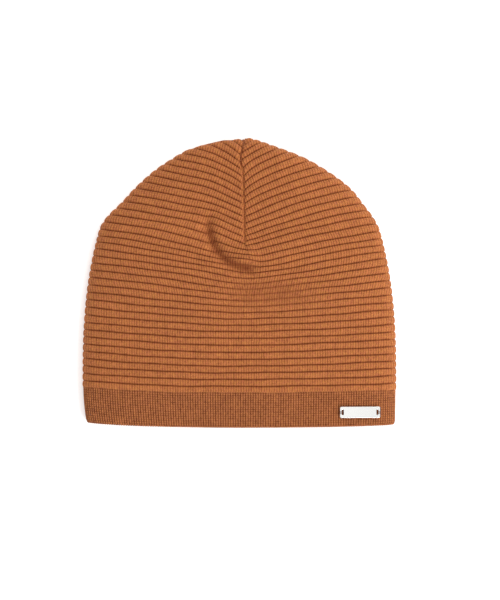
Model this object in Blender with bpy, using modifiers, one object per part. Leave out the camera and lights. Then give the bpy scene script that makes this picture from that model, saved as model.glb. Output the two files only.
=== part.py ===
"""A knitted beanie lying flat on its back, mouth towards -Y and crown towards +Y.

The hat is a ribbed knit tube with a folded hem band, shaped by four crown darts.
It lies as it is stored on a shelf: the back is flat on the table (z = 0), the front
arches over it, and the side folds run round at FOLD_Z. The front half lifts from the
back half on a line across the crown tip, which is how the mouth opens.
"""

from math import cos, hypot, pi, sin, sqrt, tau

import bmesh
import bpy
from mathutils import Vector

# ---- Driving sizes, metres ------------------------------------------------
HAT_HEIGHT = 0.217            # hem to crown tip, laid flat
SIDE_HALF_WIDTH = 0.1174      # widest, WIDEST_AT above the hem
WIDEST_AT = 0.035
HEM_NARROWING = 0.0013        # half width lost from the widest row to the hem
HEM_CORNER_RADIUS = 0.003
SHOULDER_AT = 0.146           # where the side darts begin
SHOULDER_HALF_WIDTH = 0.1054
SIDE_BEND = 2.6               # exponent of the side line's curve
CROWN_RUN, CROWN_ROUND = 1.3, 1.7   # exponents of the crown's outline
TIP_HALF_WIDTH = 0.007        # where the four darts meet

BAND_HEIGHT = 0.027           # folded hem band
FABRIC = 0.003                # ribbed knit, and the band's two plies together
GAP = 0.0003                  # clearance between separate pieces

FOLD_Z = 0.0055               # height of the side folds above the table
FOLD_RADIUS = 0.0046
FOLD_FLAT = 0.0006            # upright strip on each side of the fold line
BACK_ROUND = 0.007            # how far in from the edge the back touches the table
LOFT_HEM = 0.0130             # the front's rise above the fold, at the hem
LOFT_BODY = 0.0200            # the same over the middle of the hat
LOFT_FULL_AT = 0.120
LOFT_TIP = 0.0015
LOFT_CROWN_POWER = 2.3        # how late the front comes down to the crown tip

DART_START = 0.142            # tips of the crown darts, above the hem
DART_END = 0.206
SEAM_RADIUS = 0.0012          # rolled seam allowance inside each dart
LINKING_RADIUS = 0.0006       # chain that links the band to the body
THREAD_RADIUS = 0.0002

PLATE_LENGTH, PLATE_WIDTH, PLATE_THICK = 0.030, 0.00825, 0.0008
PLATE_X, PLATE_ABOVE_HEM = 0.0894, 0.0118
PLATE_CORNER = 0.0010
PLATE_HOLE_FROM_END = 0.0020  # hole centre to the plate's short end
PLATE_HOLE_WIDTH, PLATE_HOLE_HEIGHT = 0.0014, 0.0041
THREAD_TURNS = 3
THREAD_PITCH = 0.0008

LABEL_X = -0.055
LABEL_WIDTH, LABEL_LENGTH = 0.028, 0.040
LABEL_PLY, LABEL_FOLD = 0.0003, 0.0008    # ply thickness, and height of the fold
LABEL_ABOVE_HEM = 0.0292

# ---- Mesh density ---------------------------------------------------------
FRONT_SEGMENTS = 22
BACK_ROUND_SEGMENTS = 3
BACK_FLAT_SEGMENTS = 8
BAND_ROWS = 3
BODY_ROWS = 9
CROWN_ROWS = 10

COLOURS = {
    "knit": (0.42, 0.135, 0.045),
    "band": (0.37, 0.120, 0.043),
    "yarn": (0.30, 0.090, 0.035),
    "thread": (0.09, 0.035, 0.02),
    "metal": (0.80, 0.80, 0.79),
    "satin": (0.85, 0.84, 0.80),
}


# ---- The hat's outer surface ----------------------------------------------
def smooth(t):
    """Ease from 0 to 1 without a corner at either end."""
    t = min(max(t, 0.0), 1.0)
    return t * t * (3.0 - 2.0 * t)


def half_width(height):
    """Half the hat's flat width at a height above the hem."""
    if height >= SHOULDER_AT:
        along = min((height - SHOULDER_AT) / (HAT_HEIGHT - SHOULDER_AT), 1.0)
        width = SHOULDER_HALF_WIDTH * (1.0 - along ** CROWN_RUN) ** (1.0 / CROWN_ROUND)
        return max(width, TIP_HALF_WIDTH)
    if height >= WIDEST_AT:
        along = (height - WIDEST_AT) / (SHOULDER_AT - WIDEST_AT)
        return SIDE_HALF_WIDTH - (SIDE_HALF_WIDTH - SHOULDER_HALF_WIDTH) * along ** SIDE_BEND
    width = SIDE_HALF_WIDTH - HEM_NARROWING * ((WIDEST_AT - height) / WIDEST_AT) ** 2
    if height < HEM_CORNER_RADIUS:
        into_corner = HEM_CORNER_RADIUS - height
        width -= HEM_CORNER_RADIUS - sqrt(HEM_CORNER_RADIUS ** 2 - into_corner ** 2)
    return width


def loft(height):
    """The front's rise above the fold on the centre line."""
    rise = LOFT_HEM + (LOFT_BODY - LOFT_HEM) * smooth(height / LOFT_FULL_AT)
    if height > LOFT_FULL_AT:
        along = min((height - LOFT_FULL_AT) / (HAT_HEIGHT - LOFT_FULL_AT), 1.0)
        rise *= sqrt(1.0 - along ** LOFT_CROWN_POWER)
    return max(rise, LOFT_TIP)


def front_point(height, across):
    """Point on the front; across runs from -1 at the left fold to 1 at the right."""
    width, rise = half_width(height), loft(height)
    flatness = max(2.2, 2.0 * FOLD_RADIUS * width / rise ** 2)
    lift = rise * sqrt(max(1.0 - abs(across) ** flatness, 0.0))
    return Vector((width * across, height - HAT_HEIGHT / 2, FOLD_Z + FOLD_FLAT + lift))


def back_point(height, across):
    """Point on the back; flat on the table but for a round edge all the way round."""
    width = half_width(height)
    reach = min(BACK_ROUND, width * 0.45)
    from_side = width * (1.0 - abs(across))
    from_top = HAT_HEIGHT - height
    drop = 1.0
    for distance in (from_side / reach, from_top / BACK_ROUND):
        if distance < 1.0:
            drop *= sqrt(1.0 - (1.0 - distance) ** 2)
    z = (FOLD_Z - FOLD_FLAT) * (1.0 - drop)
    return Vector((width * across, height - HAT_HEIGHT / 2, z))


def inside(surface, height, across, depth):
    """Point a given depth under the front or the back surface, along its normal."""
    step = 0.0005
    side = step / half_width(height)
    along = surface(height + step, across) - surface(height - step, across)
    over = surface(height, across + side) - surface(height, across - side)
    normal = over.cross(along).normalized()
    if surface is back_point:
        normal.negate()
    return surface(height, across) - normal * depth


def section(height):
    """Closed ring round the hat at one height: over the front, back along the table."""
    ring = []
    for step in range(FRONT_SEGMENTS + 1):
        ring.append(front_point(height, cos(pi * step / FRONT_SEGMENTS)))
    reach = min(BACK_ROUND / half_width(height), 0.45)
    round_steps = [cos(pi / 2 * step / BACK_ROUND_SEGMENTS) for step in range(BACK_ROUND_SEGMENTS + 1)]
    left = [-1.0 + reach * (1.0 - value) for value in round_steps]
    flat = [(-1.0 + reach) * (1.0 - 2.0 * step / BACK_FLAT_SEGMENTS)
            for step in range(1, BACK_FLAT_SEGMENTS)]
    right = [-value for value in reversed(left)]
    ring.extend(back_point(height, across) for across in left + flat + right)
    return ring


def row_heights():
    """Heights of the rings, closer together towards the hem corner and the tip."""
    rows = [0.0, HEM_CORNER_RADIUS * 0.3, HEM_CORNER_RADIUS]
    rows += [HEM_CORNER_RADIUS + (BAND_HEIGHT - HEM_CORNER_RADIUS) * (step + 1) / BAND_ROWS
             for step in range(BAND_ROWS)]
    rows += [BAND_HEIGHT + (SHOULDER_AT - BAND_HEIGHT) * (step + 1) / BODY_ROWS
             for step in range(BODY_ROWS)]
    rows += [SHOULDER_AT + (HAT_HEIGHT - SHOULDER_AT) * sin(pi / 2 * (step + 1) / CROWN_ROWS)
             for step in range(CROWN_ROWS)]
    return rows


# ---- Making objects -------------------------------------------------------
def new_collection(name):
    """Collection linked to the scene."""
    collection = bpy.data.collections.new(name)
    bpy.context.scene.collection.children.link(collection)
    return collection


def material(name, roughness, metallic=0.0):
    """Principled material in one of the hat's colours."""
    made = bpy.data.materials.new(name)
    made.use_nodes = True
    shader = made.node_tree.nodes["Principled BSDF"]
    shader.inputs["Base Color"].default_value = (*COLOURS[name], 1.0)
    shader.inputs["Roughness"].default_value = roughness
    shader.inputs["Metallic"].default_value = metallic
    made.diffuse_color = (*COLOURS[name], 1.0)
    return made


def add_object(name, data, finish, collection):
    """Object for one piece, in the parts collection."""
    if finish:
        data.materials.append(finish)
    made = bpy.data.objects.new(name, data)
    collection.objects.link(made)
    return made


def sack_mesh(name):
    """Open sack: rings from the mouth to the crown, closed at the tip."""
    mesh = bmesh.new()
    rings = [[mesh.verts.new(point) for point in section(height)] for height in row_heights()]
    for lower, upper in zip(rings, rings[1:]):
        for step in range(len(lower)):
            after = (step + 1) % len(lower)
            mesh.faces.new((lower[step], lower[after], upper[after], upper[step]))
    mesh.faces.new(rings[-1])
    bmesh.ops.recalc_face_normals(mesh, faces=mesh.faces)
    if max(mesh.faces, key=lambda face: face.calc_center_median().z).normal.z < 0:
        bmesh.ops.reverse_faces(mesh, faces=mesh.faces)
    data = bpy.data.meshes.new(name)
    mesh.to_mesh(data)
    mesh.free()
    data.shade_smooth()
    return data


def cutter_box(name, low, high, collection):
    """Box that keeps one quarter of the sack."""
    bpy.ops.mesh.primitive_cube_add(size=1.0, location=(low + high) / 2)
    box = bpy.context.object
    box.name = name
    box.scale = high - low
    bpy.ops.object.transform_apply(location=False, rotation=False, scale=True)
    for owner in list(box.users_collection):
        owner.objects.unlink(box)
    collection.objects.link(box)
    box.hide_render = True
    box.display_type = 'WIRE'
    return box


def shell_piece(name, sack, cutter, finish, collection):
    """Part of the sack given its wall and kept inside one cutter box."""
    piece = add_object(name, sack.copy(), finish, collection)
    wall = piece.modifiers.new("wall", 'SOLIDIFY')
    wall.thickness = FABRIC
    wall.offset = -1.0
    wall.use_even_offset = True
    keep = piece.modifiers.new("keep", 'BOOLEAN')
    keep.operation = 'INTERSECT'
    keep.solver = 'EXACT'
    keep.object = cutter
    return piece


def tube(name, points, radius, finish, collection):
    """Round yarn or thread through the points, with closed ends."""
    curve = bpy.data.curves.new(name, 'CURVE')
    curve.dimensions = '3D'
    curve.bevel_depth = radius
    curve.bevel_resolution = 2
    curve.use_fill_caps = True
    spline = curve.splines.new('POLY')
    spline.points.add(len(points) - 1)
    for knot, point in zip(spline.points, points):
        knot.co = (*point, 1.0)
    return add_object(name, curve, finish, collection)


# ---- The pieces -----------------------------------------------------------
def make_fabric(parts, cutters, knit, band):
    """Front and back of the ribbed body and of the hem band."""
    sack = sack_mesh("sack")
    far = 0.2
    join = BAND_HEIGHT - HAT_HEIGHT / 2
    halves = {"front": (FOLD_Z + GAP / 2, far), "back": (-far, FOLD_Z - GAP / 2)}
    courses = {"knit_body": (join + GAP / 2, far, knit), "hem_band": (-far, join - GAP / 2, band)}
    for half, (z_low, z_high) in halves.items():
        for course, (y_low, y_high, finish) in courses.items():
            name = f"{course}_{half}"
            low, high = Vector((-far, y_low, z_low)), Vector((far, y_high, z_high))
            cutter = cutter_box(f"keep_{name}", low, high, cutters)
            shell_piece(name, sack, cutter, finish, parts)
    bpy.data.meshes.remove(sack)


def make_dart_seams(parts, yarn):
    """Rolled seam allowances inside the four darts and down the centre back."""
    depth = FABRIC + GAP + SEAM_RADIUS
    steps = 12
    dart = [DART_START + (DART_END - DART_START) * step / steps for step in range(steps + 1)]
    tube("front_dart_seam", [inside(front_point, height, 0.0, depth + GAP) for height in dart],
         SEAM_RADIUS, yarn, parts)
    tube("back_dart_seam", [inside(back_point, height, 0.0, depth) for height in dart],
         SEAM_RADIUS, yarn, parts)
    below = [BAND_HEIGHT + 0.002, DART_START - 0.002]
    tube("back_seam", [inside(back_point, height, 0.0, depth) for height in below],
         SEAM_RADIUS, yarn, parts)
    for name, side in (("left_dart_seam", -1.0), ("right_dart_seam", 1.0)):
        points = []
        for height in dart[1:-1]:
            slope = (half_width(height + GAP) - half_width(height - GAP)) / (2 * GAP)
            inward = (depth + GAP) / hypot(1.0, slope)
            x = side * (half_width(height) - inward)
            points.append(Vector((x, height - HAT_HEIGHT / 2 + slope * inward, FOLD_Z)))
        tube(name, points, SEAM_RADIUS, yarn, parts)


def make_linking(parts, yarn):
    """Chain inside the hat that links the band's open edges to the body."""
    depth = FABRIC + GAP + LINKING_RADIUS
    steps = 24
    for name, surface, reach in (("hem_linking_front", front_point, 0.90),
                                 ("hem_linking_back", back_point, 0.92)):
        across = [reach * sin(pi / 2 * (2 * step / steps - 1)) for step in range(steps + 1)]
        points = [inside(surface, BAND_HEIGHT, value, depth + GAP) for value in across]
        tube(name, points, LINKING_RADIUS, yarn, parts)


def make_crown_tack(parts, yarn):
    """Small whipped bar that closes the point where the four darts meet."""
    turns, per_turn = 3, 8
    coil_radius, half_length = 0.0011, 0.0017
    centre = Vector((0.0, 0.2095 - HAT_HEIGHT / 2, FOLD_Z + 0.001))
    points = []
    for step in range(turns * per_turn + 1):
        turn = step / per_turn
        offset = Vector((half_length * (2 * turn / turns - 1),
                         coil_radius * cos(tau * turn), coil_radius * sin(tau * turn)))
        points.append(centre + offset)
    tube("crown_tack", points, 0.0003, yarn, parts)


def plate_frame():
    """Empty on the band, its X along the plate and its Z away from the fabric."""
    left = front_point(PLATE_ABOVE_HEM, (PLATE_X - PLATE_LENGTH / 2) / half_width(PLATE_ABOVE_HEM))
    right = front_point(PLATE_ABOVE_HEM, (PLATE_X + PLATE_LENGTH / 2) / half_width(PLATE_ABOVE_HEM))
    middle = front_point(PLATE_ABOVE_HEM, PLATE_X / half_width(PLATE_ABOVE_HEM))
    along = (right - left).normalized()
    away = along.cross(Vector((0.0, 1.0, 0.0))).normalized()
    top = max(away.dot(front_point(PLATE_ABOVE_HEM + dy, (PLATE_X + dx) / half_width(PLATE_ABOVE_HEM)))
              for dx in (-0.006, 0.0, 0.006) for dy in (-PLATE_WIDTH / 2, PLATE_WIDTH / 2))
    base = middle + away * (top - away.dot(middle) + GAP + PLATE_THICK / 2)
    frame = bpy.data.objects.new("plate_frame", None)
    frame.rotation_euler = along.to_track_quat('X', 'Z').to_euler()
    frame.location = base
    frame.empty_display_size = 0.01
    return frame


def rounded_loop(curve, centre_x, length, width, radius):
    """Closed outline with round corners in a flat curve."""
    spline = curve.splines.new('POLY')
    corners = []
    steps = 4
    for quarter, (sx, sy) in enumerate(((1, 1), (-1, 1), (-1, -1), (1, -1))):
        for step in range(steps + 1):
            angle = pi / 2 * (quarter + step / steps)
            corners.append((centre_x + sx * (length / 2 - radius) + radius * cos(angle),
                            sy * (width / 2 - radius) + radius * sin(angle)))
    spline.points.add(len(corners) - 1)
    for knot, (x, y) in zip(spline.points, corners):
        knot.co = (x, y, 0.0, 1.0)
    spline.use_cyclic_u = True


def make_name_plate(parts, metal, thread):
    """Plain metal plate with an oval hole at each end, and the thread through them."""
    frame = plate_frame()
    parts.objects.link(frame)
    outline = bpy.data.curves.new("name_plate", 'CURVE')
    outline.dimensions = '2D'
    outline.fill_mode = 'BOTH'
    outline.extrude = PLATE_THICK / 2
    rounded_loop(outline, 0.0, PLATE_LENGTH, PLATE_WIDTH, PLATE_CORNER)
    hole_x = PLATE_LENGTH / 2 - PLATE_HOLE_FROM_END
    for side in (-1, 1):
        rounded_loop(outline, side * hole_x, PLATE_HOLE_WIDTH, PLATE_HOLE_HEIGHT, PLATE_HOLE_WIDTH * 0.49)
    plate = add_object("name_plate", outline, metal, parts)
    plate.parent = frame

    clear = GAP + THREAD_RADIUS
    bar_inner = hole_x + PLATE_HOLE_WIDTH / 2
    middle = (bar_inner + PLATE_LENGTH / 2) / 2
    half_bar = (PLATE_LENGTH / 2 - bar_inner) / 2 + clear
    half_thick = PLATE_THICK / 2 + clear
    per_turn = 8
    for name, side in (("plate_thread_left", -1), ("plate_thread_right", 1)):
        points = []
        for step in range(THREAD_TURNS * per_turn + 1):
            turn = step / per_turn
            angle = tau * turn
            stretch = 1.0 / max(abs(cos(angle)), abs(sin(angle)))
            points.append(Vector((side * (middle + half_bar * cos(angle) * stretch),
                                  THREAD_PITCH * (turn - THREAD_TURNS / 2),
                                  half_thick * sin(angle) * stretch)))
        loops = tube(name, points, THREAD_RADIUS, thread, parts)
        loops.parent = frame


def make_care_label(parts, satin, thread):
    """Ribbon folded in two, sewn by its open end inside the back."""
    base_z = FABRIC + GAP + LABEL_PLY
    base_y = LABEL_ABOVE_HEM - HAT_HEIGHT / 2
    steps = 4
    profile = [(0.0, -LABEL_FOLD / 2)]
    for step in range(steps + 1):
        angle = pi * (step / steps - 0.5)
        profile.append((LABEL_LENGTH - LABEL_FOLD / 2 * (1 - cos(angle)), LABEL_FOLD / 2 * sin(angle)))
    profile.append((0.0, LABEL_FOLD / 2))
    mesh = bmesh.new()
    rows = [[mesh.verts.new((side * LABEL_WIDTH / 2, y, z)) for y, z in profile] for side in (-1, 1)]
    for step in range(len(profile) - 1):
        mesh.faces.new((rows[0][step], rows[1][step], rows[1][step + 1], rows[0][step + 1]))
    data = bpy.data.meshes.new("care_label")
    mesh.to_mesh(data)
    mesh.free()
    label = add_object("care_label", data, satin, parts)
    label.location = (LABEL_X, base_y, base_z + LABEL_FOLD / 2)
    ply = label.modifiers.new("ply", 'SOLIDIFY')
    ply.thickness = LABEL_PLY
    ply.offset = 0.0

    stitch_y = base_y - 0.0008
    stitch_z = FABRIC + GAP + 0.0004
    ends = [Vector((LABEL_X + side * LABEL_WIDTH / 2, stitch_y, stitch_z)) for side in (-1, 1)]
    tube("care_label_stitching", ends, 0.0003, thread, parts)


def main():
    """Build every piece of the hat."""
    for old in list(bpy.data.objects):
        bpy.data.objects.remove(old, do_unlink=True)
    parts, cutters = new_collection("knitted_beanie"), new_collection("cutters")
    knit, band = material("knit", 0.9), material("band", 0.9)
    yarn, thread = material("yarn", 0.9), material("thread", 0.7)
    metal, satin = material("metal", 0.25, metallic=1.0), material("satin", 0.5)
    make_fabric(parts, cutters, knit, band)
    make_dart_seams(parts, yarn)
    make_linking(parts, yarn)
    make_crown_tack(parts, yarn)
    make_name_plate(parts, metal, thread)
    make_care_label(parts, satin, thread)


main()
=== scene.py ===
"""Looks of a fine-gauge ribbed knit beanie lying flat on its back.

Each class makes one group of the hat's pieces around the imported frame: the ridged
knit body, the folded hem band, the crown dart seams, the linking chain, the sewn
metal plate and the care label. Lengths are in millimetres until a mesh is made, except
the boxes read from the frame, which are in metres.
"""

import logging
from dataclasses import dataclass, field
from enum import Enum
from math import atan, cos, pi, radians, sin, tau

import bmesh
import bpy
import numpy as np
from mathutils import Matrix, Vector


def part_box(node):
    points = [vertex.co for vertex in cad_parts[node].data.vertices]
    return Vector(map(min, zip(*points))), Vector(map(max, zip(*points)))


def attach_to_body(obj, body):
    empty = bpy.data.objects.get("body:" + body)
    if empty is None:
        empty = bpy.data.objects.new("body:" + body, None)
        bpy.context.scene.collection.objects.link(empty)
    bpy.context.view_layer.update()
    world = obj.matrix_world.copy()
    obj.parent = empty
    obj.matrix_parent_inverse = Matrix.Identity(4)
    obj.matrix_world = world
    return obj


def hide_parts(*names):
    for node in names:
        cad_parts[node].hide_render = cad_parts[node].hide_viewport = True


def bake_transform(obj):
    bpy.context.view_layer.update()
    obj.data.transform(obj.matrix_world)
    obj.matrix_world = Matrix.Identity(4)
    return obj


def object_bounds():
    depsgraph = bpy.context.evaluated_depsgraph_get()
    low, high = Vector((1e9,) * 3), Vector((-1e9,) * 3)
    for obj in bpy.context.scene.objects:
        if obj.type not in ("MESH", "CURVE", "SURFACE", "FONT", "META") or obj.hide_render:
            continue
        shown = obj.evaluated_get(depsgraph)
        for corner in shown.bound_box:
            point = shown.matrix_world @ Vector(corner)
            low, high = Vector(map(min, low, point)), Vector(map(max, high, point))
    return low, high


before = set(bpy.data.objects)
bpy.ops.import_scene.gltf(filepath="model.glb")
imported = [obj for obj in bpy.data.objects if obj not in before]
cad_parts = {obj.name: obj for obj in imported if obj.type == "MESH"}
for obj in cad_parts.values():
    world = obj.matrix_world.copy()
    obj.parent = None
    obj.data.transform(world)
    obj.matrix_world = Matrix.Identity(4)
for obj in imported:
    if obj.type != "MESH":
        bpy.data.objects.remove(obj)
CAD_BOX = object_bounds()

MM = 0.001
LOG = logging.getLogger("beanie")
Array = np.ndarray


class Side(Enum):
    """Which way a course runs from the centre seam; the value is the sign of X."""

    LEFT = -1
    RIGHT = 1


class Layer(Enum):
    """The half of the hat that faces up, or the half on the table."""

    FRONT = "front"
    BACK = "back"


def smooth(value: Array) -> Array:
    """Ease from 0 to 1 without a corner at either end."""
    clipped = np.clip(value, 0.0, 1.0)
    return clipped * clipped * (3.0 - 2.0 * clipped)


def mix(low: Array, high: Array, share: Array) -> Array:
    """Value a given share of the way from low to high."""
    return low + (high - low) * share


def dip_of(layer: Layer) -> float:
    """Which way and how strongly a layer's seam dips: the front fully, the back less."""
    return -1.0 if layer is Layer.FRONT else 0.4


def srgb(code: str) -> tuple[float, float, float, float]:
    """Linear colour of an sRGB hex code.

    Args:
        code: six hex digits.

    Returns:
        Red, green, blue and an alpha of 1.
    """
    channels = [int(code[at:at + 2], 16) / 255 for at in (0, 2, 4)]
    linear = [c / 12.92 if c <= 0.04045 else ((c + 0.055) / 1.055) ** 2.4 for c in channels]
    return (*linear, 1.0)


# ---------------------------------------------------------------- the hat's form
@dataclass(frozen=True)
class CourseLine:
    """How the courses lie on one side of the hat, in millimetres and course numbers."""

    edge_start: float         # height of the first groove at the side fold
    pitch: float              # groove to groove along the side fold
    drop_start: float         # how much lower the first groove is at the centre
    drop_crown: float         # the same near the crown
    drop_from: float          # course at which the drop starts to grow
    drop_over: float          # courses over which it grows
    crown_bend: float         # how sharply crown courses turn down to the seam
    bend_from: float          # course at which the turn starts to sharpen


@dataclass(frozen=True)
class HatForm:
    """Outline, loft and course lines of the hat, worked out from the frame."""

    height: float
    half_width: float
    fold_z: float
    crest_z: float
    join: float
    widest_at: float = 35.0
    shoulder_at: float = 146.0
    shoulder_width: float = 105.4
    side_bend: float = 2.6
    crown_run: float = 1.3
    crown_round: float = 1.7
    fold_radius: float = 4.6
    loft_full_at: float = 120.0
    loft_hem_share: float = 0.65
    loft_crown_power: float = 2.3
    back_round: float = 7.0
    wall_below_groove: float = 1.3
    ridge: float = 1.8
    dart_tip: float = 134.0
    tip_course: float = 22.2
    seam_at_tip: float = 4.0
    seam_at_top: float = 2.2
    round_below_tip: float = 15.0
    reach: float = 114.0              # how far from the seam the courses' lines are drawn out
    parting_from: float = 190.0       # height at which the front dart's edges start to part
    parting_over: float = 14.0
    patch_centre: tuple[float, float] = (25.0, 100.0)
    patch_half: tuple[float, float] = (36.0, 11.0)
    crease_centre: tuple[float, float] = (9.9, 150.8)
    crease_radius: float = 31.8
    left_below_tip: float = 1.6       # the right side of the crown tip stands this much higher
    side_share: float = 0.55          # ridges stand this much lower where they turn the side fold
    courses: dict[Side, CourseLine] = field(default_factory=lambda: {
        Side.LEFT: CourseLine(30.9, 5.43, 4.9, 24.8, 0.0, 31.0, 2.0, 10.0),
        Side.RIGHT: CourseLine(28.3, 5.50, 2.6, 29.1, 4.0, 26.0, 2.1, 15.0),
    })

    @classmethod
    def from_frame(cls) -> "HatForm":
        """Read the hat's main sizes from the frame.

        Returns:
            The form, with its other sizes at their usual values.
        """
        low, high = CAD_BOX
        body_low, body_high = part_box("knit_body_front")
        _, back_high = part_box("knit_body_back")
        return cls(
            height=(high.y - low.y) / MM,
            half_width=(high.x - low.x) / 2 / MM,
            fold_z=(body_low.z + back_high.z) / 2 / MM,
            crest_z=body_high.z / MM,
            join=(body_low.y - low.y) / MM,
        )

    def outline(self, height: Array, inset: float = 0.0) -> Array:
        """Half the hat's width at a height above the hem, less an inset all round.

        Args:
            height: heights above the hem.
            inset: distance in from the outer face.

        Returns:
            Half the width at each height.
        """
        along = np.clip((height - self.shoulder_at) / (self.height - inset - self.shoulder_at), 0.0, 1.0)
        crown = (self.shoulder_width - inset) * (1.0 - along ** self.crown_run) ** (1.0 / self.crown_round)
        up = np.clip((height - self.widest_at) / (self.shoulder_at - self.widest_at), 0.0, 1.0)
        side = self.half_width - inset - (self.half_width - self.shoulder_width) * up ** self.side_bend
        down = np.clip((self.widest_at - height) / self.widest_at, 0.0, 1.0)
        crown = crown * (1.0 - 0.30 * np.exp((height - self.height) / 4.5))
        crown = crown - 1.3 * np.exp(-((height - 167.0) / 7.5) ** 2)
        return np.where(height >= self.shoulder_at, crown, side - 1.3 * down ** 2)

    def lean(self, height: Array) -> Array:
        """Sideways shift of the crown's middle."""
        shoulder = 2.3 * np.sin(pi * np.clip((height - 150.0) / 52.0, 0.0, 1.0)) ** 2
        return shoulder - 3.0 * smooth((height - 198.0) / 12.0) + 3.5 * smooth((height - 209.0) / 8.0)

    def seam_x(self, height: Array) -> Array:
        """X of the centre-front seam, and of the hat's centre line below it.

        Args:
            height: heights above the hem.

        Returns:
            X of the seam at each height.
        """
        up = np.clip((height - self.dart_tip) / (self.height - self.dart_tip), 0.0, 1.0)
        bulge = 8.0 * np.exp(-((height - 117.0) / 10.0) ** 2)
        drift = -8.0 * (1.0 - smooth((height - 40.0) / 62.0))
        kink = 1.5 * smooth((height - 205.0) / 10.0) - 1.7 * np.exp(-((height - 199.0) / 7.0) ** 2)
        return mix(self.seam_at_tip, self.seam_at_top, up) + bulge + drift + kink

    def across(self, x: Array, height: Array, inset: float) -> Array:
        """Share of the half width at which a point lies, 0 at the middle and 1 at the fold."""
        width = np.maximum(self.outline(height, inset * self.side_share), 0.5)
        return np.clip(np.abs(x - self.lean(height)) / width, 0.0, 1.0)

    def rise(self, height: Array, inset: float) -> Array:
        """The front's rise above the fold on the centre line.

        Args:
            height: heights above the hem.
            inset: distance in from the outer face.

        Returns:
            Rise at each height.
        """
        full = self.crest_z - self.fold_z - inset
        hem = full * self.loft_hem_share
        rise = mix(hem, full, smooth(height / self.loft_full_at))
        top = self.height - inset * self.side_share
        along = np.clip((height - self.loft_full_at) / (top - self.loft_full_at), 0.0, 1.0)
        return np.maximum(rise * np.sqrt(1.0 - along ** self.loft_crown_power), 0.3)

    def _crease(self, x: Array, height: Array) -> tuple[Array, Array]:
        """Distance inwards from the crease round the dart's tip, and how strong it is there.

        Args:
            x: places across the hat, from the middle.
            height: heights above the hem.

        Returns:
            The distance, and the strength from 0 to 1.
        """
        across, up = x - self.crease_centre[0], height - self.crease_centre[1]
        angle = np.degrees(np.arctan2(up, across)) % 360.0
        strength = smooth((angle - 152.0) / 42.0) * smooth((286.0 - angle) / 24.0)
        return self.crease_radius - np.hypot(across, up), strength

    def pucker(self, x: Array, height: Array) -> Array:
        """The cone the dart's tip pushes up, with a crease round its lower left.

        Args:
            x: places across the hat, from the middle.
            height: heights above the hem.

        Returns:
            How much higher the front stands at each place.
        """
        inward, strength = self._crease(x, height)
        inside = 1.0 / (1.0 + np.exp(-(inward - 2.0) / 1.5))
        fading = np.exp(-(np.maximum(inward, 0.0) / 17.0) ** 2)
        step = 3.3 * inside * fading * strength
        trough = -3.1 * np.exp(-((inward + 1.6) / 4.4) ** 2) * strength
        cone = 2.6 * np.exp(-((x - 16.0) / 24.0) ** 2 - ((height - 127.0) / 9.0) ** 2)
        settled = -2.6 * np.exp(-(x / 70.0) ** 2 - ((height - 135.0) / 48.0) ** 2)
        return step + trough + cone + settled

    def sunk(self, x: Array, height: Array) -> Array:
        """How far the ridges sink into the crease, from 0 to 1."""
        inward, strength = self._crease(x, height)
        return strength * np.exp(-((inward + 0.5) / 3.9) ** 2)

    def flat_patch(self, x: Array, height: Array) -> Array:
        """How far the ridges lie flat in the patch below the dart's tip, from 0 to 1."""
        (middle_x, middle), (half_x, half) = self.patch_centre, self.patch_half
        return np.exp(-((x - middle_x) / half_x) ** 4 - ((height - middle) / half) ** 4)

    def parting(self, height: Array) -> Array:
        """How far the dart's edges have parted towards the crown tip, from 0 to 1."""
        return smooth((height - self.parting_from) / self.parting_over)

    def _gather(self, x: Array, height: Array) -> Array:
        """How far courses are pushed up inside the crease and down outside it.

        Args:
            x: places across the hat, from the middle.
            height: heights above the hem.

        Returns:
            How far up each place moves.
        """
        inward, strength = self._crease(x, height)
        inside = 1.0 / (1.0 + np.exp(-inward / 1.1))
        pushed_up = 3.4 * inside * np.exp(-np.maximum(inward, 0.0) / 9.0)
        pushed_down = -1.6 * (1.0 - inside) * np.exp(np.minimum(inward, 0.0) / 8.0)
        return (pushed_up + pushed_down) * strength

    def front_z(self, x: Array, height: Array, inset: float) -> Array:
        """Height of the front above the table.

        Args:
            x: places across the hat, from the middle.
            height: heights above the hem.
            inset: distance in from the outer face.

        Returns:
            Z of each place.
        """
        rise = self.rise(height, inset)
        width = np.maximum(self.outline(height, inset * self.side_share), 0.5)
        flatness = np.clip(2.0 * (self.fold_radius - inset * 0.5) * width / rise ** 2, 2.2, 12.0)
        share = self.across(x, height, inset)
        lift = rise * np.sqrt(1.0 - share ** flatness)
        sway = 0.5 * np.sin(x / 23.0 + height / 31.0) + 0.35 * np.sin(x / 13.0 - height / 19.0 + 1.3)
        calm = smooth((1.0 - share) * 4.0) * smooth((self.height - height) / 30.0)
        return self.fold_z + lift + (self.pucker(x, height) + sway) * calm

    def back_z(self, x: Array, height: Array, inset: float) -> Array:
        """Height of the back above the table: flat, with a round edge.

        Args:
            x: places across the hat, from the middle.
            height: heights above the hem.
            inset: distance in from the outer face.

        Returns:
            Z of each place.
        """
        width = self.outline(height, inset * self.side_share)
        reach = np.minimum(self.back_round - inset, np.maximum(width, 0.5) * 0.6)
        from_side = np.clip((width - np.abs(x - self.lean(height))) / reach, 0.0, 1.0)
        top = self.height - inset * self.side_share
        from_top = np.clip((top - height) / (self.back_round - inset), 0.0, 1.0)
        drop = np.sqrt(1.0 - (1.0 - from_side) ** 2) * np.sqrt(1.0 - (1.0 - from_top) ** 2)
        return self.fold_z - (self.fold_z - inset) * drop

    def layer_z(self, layer: Layer, x: Array, height: Array, inset: float) -> Array:
        """Height of one layer above the table."""
        chosen = self.front_z if layer is Layer.FRONT else self.back_z
        return chosen(x, height, inset)

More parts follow.
